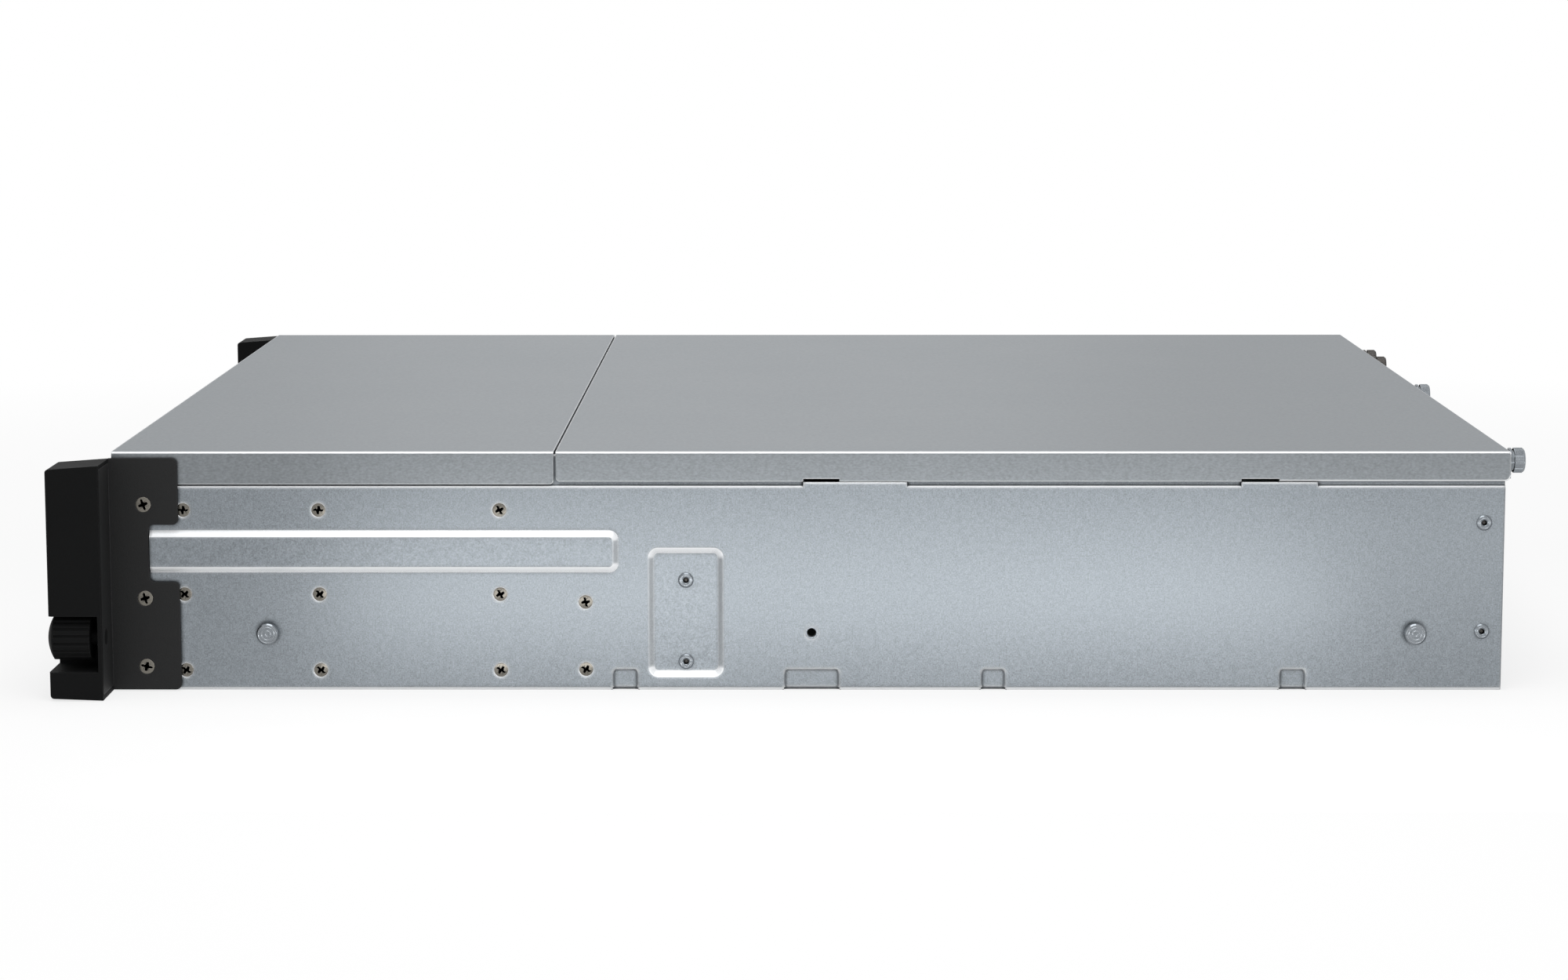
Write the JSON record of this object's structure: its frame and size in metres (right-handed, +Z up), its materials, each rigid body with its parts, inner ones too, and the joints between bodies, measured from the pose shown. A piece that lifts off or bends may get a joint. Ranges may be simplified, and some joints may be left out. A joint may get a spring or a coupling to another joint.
{
  "type": "rackmount nas server",
  "caption": "Two-unit rackmount storage server: pressed zinc steel body, sliding drive trays with levers, hot-swap power modules, lift-off rear cover and black rack ears.",
  "frame": {"origin": "centre of the whole part's base, on the underside of the bottom pan", "axes": "+Y from the drive trays to the ports at the rear, +Z up, +X to the right seen from the front"},
  "size_m": [0.4826, 0.5498, 0.0883],
  "materials": {
    "zinc_wall": "galvanised, fine spangle",
    "zinc_cover": "galvanised, satin",
    "zinc_inner": "galvanised",
    "black_coat": "fine textured powder coat",
    "black_plastic": "fine spark-eroded texture",
    "nickel": "nickel plated",
    "bright_steel": "turned and knurled",
    "dark_knob": "black oxide, knurled",
    "board": "solder mask",
    "memory_board": "solder mask",
    "fin_metal": "extruded",
    "port_shell": "tin plated",
    "tray_body": "moulded, satin",
    "fan_plastic": "moulded",
    "module_case": "zinc finish",
    "latch_plastic": "moulded, satin"
  },
  "bodies": {
    "chassis": {"chassis_tub": "zinc_wall", "front_cover": "zinc_cover", "rear_panel": "zinc_inner", "drive_cage": "zinc_inner", "backplane": "board", "fan_bracket": "zinc_inner", "fan_frames": "fan_plastic", "main_board": "board", "heatsink": "fin_metal", "memory_modules": "memory_board", "network_jack": "port_shell", "data_ports": "port_shell", "power_bay": "zinc_inner", "ear_bracket_right": "black_coat", "ear_bracket_left": "black_coat", "ear_cover_right": "black_plastic", "ear_cover_left": "black_plastic", "cage_screws": "nickel", "ear_screws": "nickel", "rivets": "bright_steel", "rail_posts": "bright_steel"},
    "rear_cover": {"rear_cover": "zinc_cover"},
    "fan_rotor_1": {"fan_rotor_1": "fan_plastic"},
    "fan_rotor_2": {"fan_rotor_2": "fan_plastic"},
    "fan_rotor_3": {"fan_rotor_3": "fan_plastic"},
    "cover_thumbscrew_side": {"cover_thumbscrew_side": "bright_steel"},
    "cover_thumbscrew_middle": {"cover_thumbscrew_middle": "bright_steel"},
    "dark_thumbscrew_1": {"dark_thumbscrew_1": "dark_knob"},
    "dark_thumbscrew_2": {"dark_thumbscrew_2": "dark_knob"},
    "rack_screw_right": {"rack_screw_right": "black_plastic"},
    "rack_screw_left": {"rack_screw_left": "black_plastic"},
    "power_button": {"power_button": "black_plastic"},
    "power_module_1": {"power_module_1": "module_case"},
    "power_latch_1": {"power_latch_1": "latch_plastic"},
    "power_module_2": {"power_module_2": "module_case"},
    "power_latch_2": {"power_latch_2": "latch_plastic"},
    "drive_tray_1": {"drive_tray_1": "tray_body"},
    "tray_lever_1": {"tray_lever_1": "black_plastic"},
    "drive_tray_2": {"drive_tray_2": "tray_body"},
    "tray_lever_2": {"tray_lever_2": "black_plastic"},
    "drive_tray_3": {"drive_tray_3": "tray_body"},
    "tray_lever_3": {"tray_lever_3": "black_plastic"},
    "drive_tray_4": {"drive_tray_4": "tray_body"},
    "tray_lever_4": {"tray_lever_4": "black_plastic"},
    "drive_tray_5": {"drive_tray_5": "tray_body"},
    "tray_lever_5": {"tray_lever_5": "black_plastic"},
    "drive_tray_6": {"drive_tray_6": "tray_body"},
    "tray_lever_6": {"tray_lever_6": "black_plastic"},
    "drive_tray_7": {"drive_tray_7": "tray_body"},
    "tray_lever_7": {"tray_lever_7": "black_plastic"},
    "drive_tray_8": {"drive_tray_8": "tray_body"},
    "tray_lever_8": {"tray_lever_8": "black_plastic"},
    "drive_tray_9": {"drive_tray_9": "tray_body"},
    "tray_lever_9": {"tray_lever_9": "black_plastic"},
    "drive_tray_10": {"drive_tray_10": "tray_body"},
    "tray_lever_10": {"tray_lever_10": "black_plastic"},
    "drive_tray_11": {"drive_tray_11": "tray_body"},
    "tray_lever_11": {"tray_lever_11": "black_plastic"},
    "drive_tray_12": {"drive_tray_12": "tray_body"},
    "tray_lever_12": {"tray_lever_12": "black_plastic"}
  },
  "joints": [
    {"name": "rear_cover_lift", "type": "slide", "parent": "chassis", "child": "rear_cover", "axis": [0, 0, 1], "range_m": [0, 0.13]},
    {"name": "fan_spin_1", "type": "hinge", "parent": "chassis", "child": "fan_rotor_1", "pos_m": [-0.036, -0.0447, 0.0421], "axis": [0, 1, 0], "continuous": true},
    {"name": "fan_spin_2", "type": "hinge", "parent": "chassis", "child": "fan_rotor_2", "pos_m": [0.056, -0.0447, 0.0421], "axis": [0, 1, 0], "continuous": true},
    {"name": "fan_spin_3", "type": "hinge", "parent": "chassis", "child": "fan_rotor_3", "pos_m": [0.148, -0.0447, 0.0421], "axis": [0, 1, 0], "continuous": true},
    {"name": "cover_thumbscrew_side_turn", "type": "hinge", "parent": "rear_cover", "child": "cover_thumbscrew_side", "pos_m": [0.211, 0.25485, 0.0837], "axis": [0, 1, 0], "continuous": true},
    {"name": "cover_thumbscrew_middle_turn", "type": "hinge", "parent": "rear_cover", "child": "cover_thumbscrew_middle", "pos_m": [0, 0.25485, 0.0837], "axis": [0, 1, 0], "continuous": true},
    {"name": "dark_thumbscrew_1_turn", "type": "hinge", "parent": "rear_cover", "child": "dark_thumbscrew_1", "pos_m": [-0.1493, 0.25485, 0.0837], "axis": [0, 1, 0], "continuous": true},
    {"name": "dark_thumbscrew_2_turn", "type": "hinge", "parent": "rear_cover", "child": "dark_thumbscrew_2", "pos_m": [-0.1195, 0.25485, 0.0837], "axis": [0, 1, 0], "continuous": true},
    {"name": "rack_screw_right_turn", "type": "hinge", "parent": "chassis", "child": "rack_screw_right", "pos_m": [0.23255, -0.27345, 0.0222], "axis": [0, 1, 0], "continuous": true},
    {"name": "rack_screw_left_turn", "type": "hinge", "parent": "chassis", "child": "rack_screw_left", "pos_m": [-0.23255, -0.27345, 0.0222], "axis": [0, 1, 0], "continuous": true},
    {"name": "power_button_press", "type": "slide", "parent": "chassis", "child": "power_button", "axis": [0, 1, 0], "range_m": [0, 0.0015], "stiffness_N_per_m": 400},
    {"name": "power_module_1_slide", "type": "slide", "parent": "chassis", "child": "power_module_1", "axis": [0, 1, 0], "range_m": [0, 0.19]},
    {"name": "power_latch_1_squeeze", "type": "hinge", "parent": "power_module_1", "child": "power_latch_1", "pos_m": [-0.14485, 0.25525, 0.0222], "axis": [0, 0, 1], "range_deg": [0, 10], "stiffness_Nm_per_rad": 0.5},
    {"name": "power_module_2_slide", "type": "slide", "parent": "chassis", "child": "power_module_2", "axis": [0, 1, 0], "range_m": [0, 0.19]},
    {"name": "power_latch_2_squeeze", "type": "hinge", "parent": "power_module_2", "child": "power_latch_2", "pos_m": [-0.06975, 0.25525, 0.0222], "axis": [0, 0, 1], "range_deg": [0, 10], "stiffness_Nm_per_rad": 0.5},
    {"name": "drive_tray_1_slide", "type": "slide", "parent": "chassis", "child": "drive_tray_1", "axis": [0, -1, 0], "range_m": [0, 0.19]},
    {"name": "tray_lever_1_swing", "type": "hinge", "parent": "drive_tray_1", "child": "tray_lever_1", "pos_m": [-0.209, -0.25295, 0.0154], "axis": [0, 0, -1], "range_deg": [0, 75]},
    {"name": "drive_tray_2_slide", "type": "slide", "parent": "chassis", "child": "drive_tray_2", "axis": [0, -1, 0], "range_m": [0, 0.19]},
    {"name": "tray_lever_2_swing", "type": "hinge", "parent": "drive_tray_2", "child": "tray_lever_2", "pos_m": [-0.1006, -0.25295, 0.0154], "axis": [0, 0, -1], "range_deg": [0, 75]},
    {"name": "drive_tray_3_slide", "type": "slide", "parent": "chassis", "child": "drive_tray_3", "axis": [0, -1, 0], "range_m": [0, 0.19]},
    {"name": "tray_lever_3_swing", "type": "hinge", "parent": "drive_tray_3", "child": "tray_lever_3", "pos_m": [0.0078, -0.25295, 0.0154], "axis": [0, 0, -1], "range_deg": [0, 75]},
    {"name": "drive_tray_4_slide", "type": "slide", "parent": "chassis", "child": "drive_tray_4", "axis": [0, -1, 0], "range_m": [0, 0.19]},
    {"name": "tray_lever_4_swing", "type": "hinge", "parent": "drive_tray_4", "child": "tray_lever_4", "pos_m": [0.1162, -0.25295, 0.0154], "axis": [0, 0, -1], "range_deg": [0, 75]},
    {"name": "drive_tray_5_slide", "type": "slide", "parent": "chassis", "child": "drive_tray_5", "axis": [0, -1, 0], "range_m": [0, 0.19]},
    {"name": "tray_lever_5_swing", "type": "hinge", "parent": "drive_tray_5", "child": "tray_lever_5", "pos_m": [-0.209, -0.25295, 0.0432], "axis": [0, 0, -1], "range_deg": [0, 75]},
    {"name": "drive_tray_6_slide", "type": "slide", "parent": "chassis", "child": "drive_tray_6", "axis": [0, -1, 0], "range_m": [0, 0.19]},
    {"name": "tray_lever_6_swing", "type": "hinge", "parent": "drive_tray_6", "child": "tray_lever_6", "pos_m": [-0.1006, -0.25295, 0.0432], "axis": [0, 0, -1], "range_deg": [0, 75]},
    {"name": "drive_tray_7_slide", "type": "slide", "parent": "chassis", "child": "drive_tray_7", "axis": [0, -1, 0], "range_m": [0, 0.19]},
    {"name": "tray_lever_7_swing", "type": "hinge", "parent": "drive_tray_7", "child": "tray_lever_7", "pos_m": [0.0078, -0.25295, 0.0432], "axis": [0, 0, -1], "range_deg": [0, 75]},
    {"name": "drive_tray_8_slide", "type": "slide", "parent": "chassis", "child": "drive_tray_8", "axis": [0, -1, 0], "range_m": [0, 0.19]},
    {"name": "tray_lever_8_swing", "type": "hinge", "parent": "drive_tray_8", "child": "tray_lever_8", "pos_m": [0.1162, -0.25295, 0.0432], "axis": [0, 0, -1], "range_deg": [0, 75]},
    {"name": "drive_tray_9_slide", "type": "slide", "parent": "chassis", "child": "drive_tray_9", "axis": [0, -1, 0], "range_m": [0, 0.19]},
    {"name": "tray_lever_9_swing", "type": "hinge", "parent": "drive_tray_9", "child": "tray_lever_9", "pos_m": [-0.209, -0.25295, 0.071], "axis": [0, 0, -1], "range_deg": [0, 75]},
    {"name": "drive_tray_10_slide", "type": "slide", "parent": "chassis", "child": "drive_tray_10", "axis": [0, -1, 0], "range_m": [0, 0.19]},
    {"name": "tray_lever_10_swing", "type": "hinge", "parent": "drive_tray_10", "child": "tray_lever_10", "pos_m": [-0.1006, -0.25295, 0.071], "axis": [0, 0, -1], "range_deg": [0, 75]},
    {"name": "drive_tray_11_slide", "type": "slide", "parent": "chassis", "child": "drive_tray_11", "axis": [0, -1, 0], "range_m": [0, 0.19]},
    {"name": "tray_lever_11_swing", "type": "hinge", "parent": "drive_tray_11", "child": "tray_lever_11", "pos_m": [0.0078, -0.25295, 0.071], "axis": [0, 0, -1], "range_deg": [0, 75]},
    {"name": "drive_tray_12_slide", "type": "slide", "parent": "chassis", "child": "drive_tray_12", "axis": [0, -1, 0], "range_m": [0, 0.19]},
    {"name": "tray_lever_12_swing", "type": "hinge", "parent": "drive_tray_12", "child": "tray_lever_12", "pos_m": [0.1162, -0.25295, 0.071], "axis": [0, 0, -1], "range_deg": [0, 75]}
  ]
}
